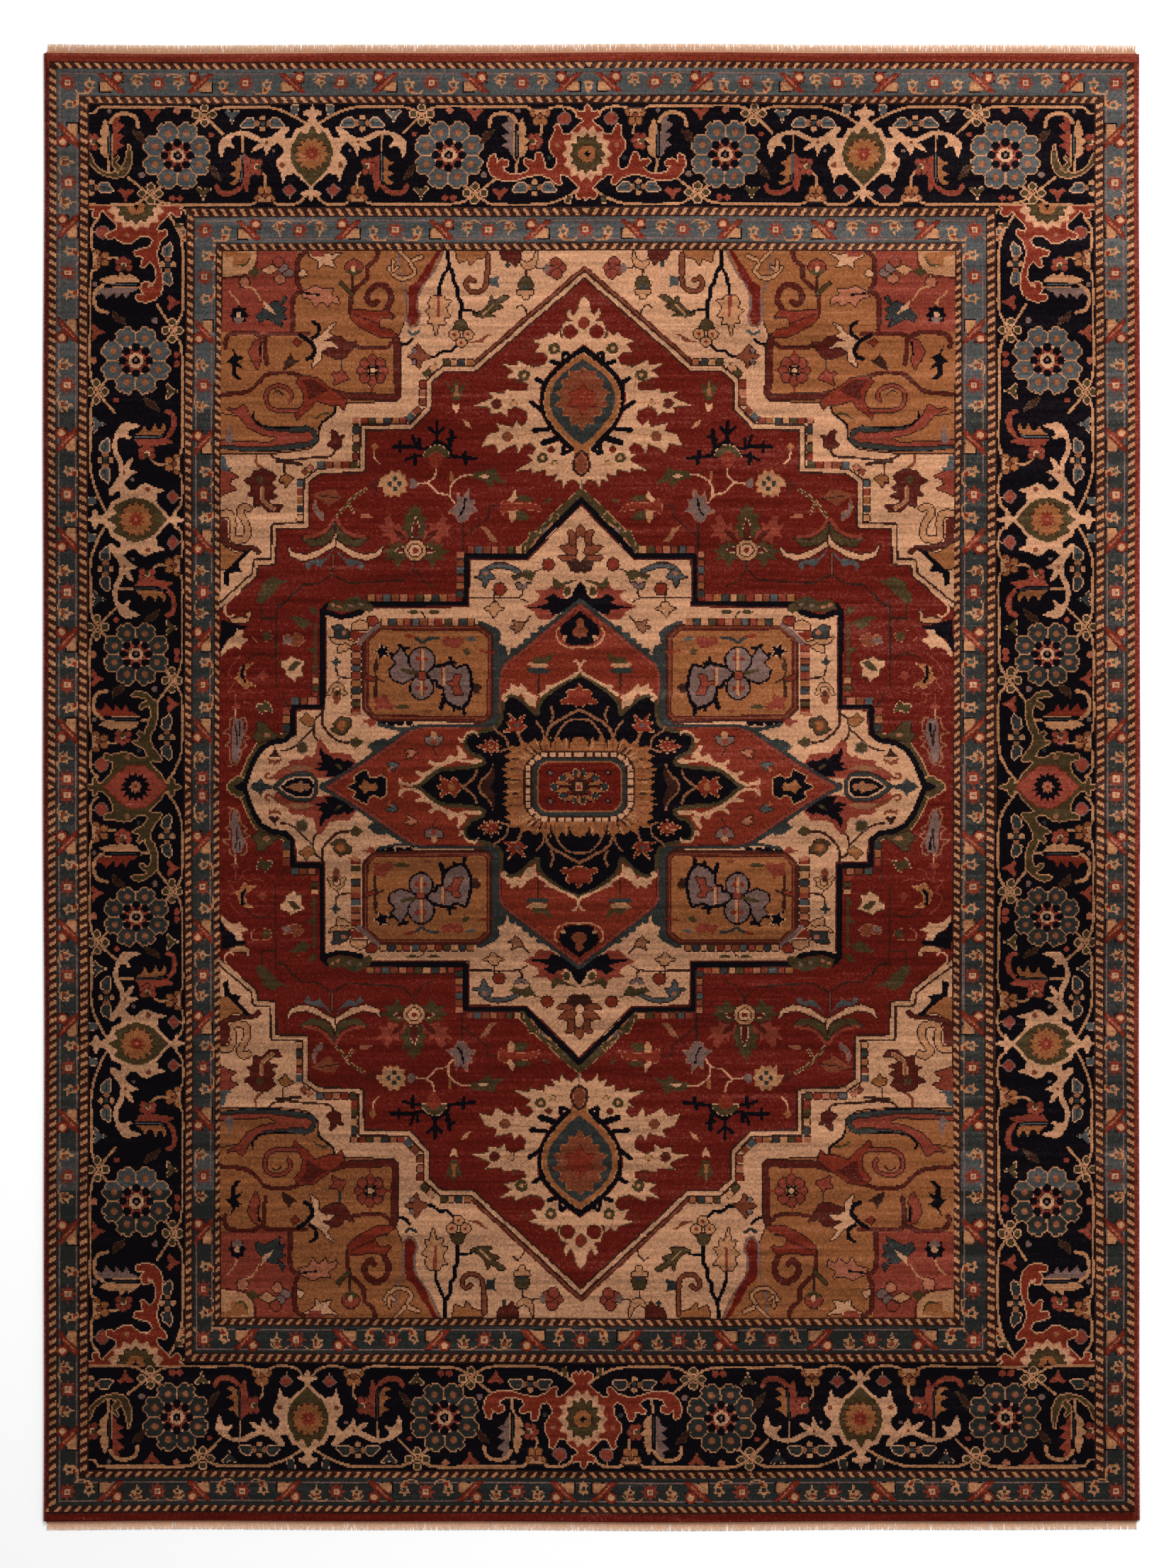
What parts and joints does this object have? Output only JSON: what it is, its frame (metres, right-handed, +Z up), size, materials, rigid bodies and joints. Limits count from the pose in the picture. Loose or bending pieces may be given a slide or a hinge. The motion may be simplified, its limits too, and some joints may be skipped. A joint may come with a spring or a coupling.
{
  "type": "area rug",
  "caption": "Rectangular hand-knotted wool rug with a stepped medallion, corner pieces, patterned borders, bound sides and short cotton fringes, laid flat.",
  "frame": {"origin": "middle of the rug's underside, on the floor", "axes": "+X across the rug, +Y along its warps towards the head end, +Z up through the pile"},
  "size_m": [2.718, 3.683, 0.012],
  "materials": {
    "cotton_web": "plain woven cotton, matt",
    "cotton_fringe": "loose cotton yarn ends, matt",
    "cotton_cord": "twisted cotton cord, matt",
    "wool_selvedge": "wound wool yarn, matt",
    "wool_red": "cut wool pile, matt with a soft sheen",
    "wool_brick": "cut wool pile, matt with a soft sheen",
    "wool_rope_stripe": "cut wool pile, matt with a soft sheen",
    "wool_blue_grey": "cut wool pile, matt with a soft sheen",
    "wool_navy": "cut wool pile, matt with a soft sheen",
    "wool_gold": "cut wool pile, matt with a soft sheen",
    "wool_ivory": "cut wool pile, matt with a soft sheen"
  },
  "bodies": {
    "root": {"corner_band_foot_left": "wool_ivory", "corner_band_foot_right": "wool_ivory", "corner_band_head_left": "wool_ivory", "corner_band_head_right": "wool_ivory", "corner_piece_foot_left": "wool_gold", "corner_piece_foot_right": "wool_gold", "corner_piece_head_left": "wool_gold", "corner_piece_head_right": "wool_gold", "edge_band_foot": "wool_red", "edge_band_head": "wool_red", "edge_band_left": "wool_red", "edge_band_right": "wool_red", "field_ground": "wool_red", "foundation_cloth": "cotton_web", "fringe_foot": "cotton_fringe", "fringe_head": "cotton_fringe", "inner_minor_border_foot": "wool_blue_grey", "inner_minor_border_head": "wool_blue_grey", "inner_minor_border_left": "wool_blue_grey", "inner_minor_border_right": "wool_blue_grey", "main_border_foot": "wool_navy", "main_border_head": "wool_navy", "main_border_left": "wool_navy", "main_border_right": "wool_navy", "medallion_cartouche": "wool_brick", "medallion_lozenge": "wool_brick", "medallion_panel_foot_left": "wool_gold", "medallion_panel_foot_right": "wool_gold", "medallion_panel_head_left": "wool_gold", "medallion_panel_head_right": "wool_gold", "medallion_rosette": "wool_navy", "medallion_star": "wool_ivory", "outer_minor_border_foot": "wool_blue_grey", "outer_minor_border_head": "wool_blue_grey", "outer_minor_border_left": "wool_blue_grey", "outer_minor_border_right": "wool_blue_grey", "pendant_foot": "wool_ivory", "pendant_head": "wool_ivory", "rope_stripe_four_foot": "wool_rope_stripe", "rope_stripe_four_head": "wool_rope_stripe", "rope_stripe_four_left": "wool_rope_stripe", "rope_stripe_four_right": "wool_rope_stripe", "rope_stripe_one_foot": "wool_rope_stripe", "rope_stripe_one_head": "wool_rope_stripe", "rope_stripe_one_left": "wool_rope_stripe", "rope_stripe_one_right": "wool_rope_stripe", "rope_stripe_three_foot": "wool_rope_stripe", "rope_stripe_three_head": "wool_rope_stripe", "rope_stripe_three_left": "wool_rope_stripe", "rope_stripe_three_right": "wool_rope_stripe", "rope_stripe_two_foot": "wool_rope_stripe", "rope_stripe_two_head": "wool_rope_stripe", "rope_stripe_two_left": "wool_rope_stripe", "rope_stripe_two_right": "wool_rope_stripe", "selvedge_core_left": "cotton_cord", "selvedge_core_right": "cotton_cord", "selvedge_wrap_left": "wool_selvedge", "selvedge_wrap_right": "wool_selvedge", "woven_end_foot": "cotton_web", "woven_end_head": "cotton_web"}
  },
  "joints": []
}
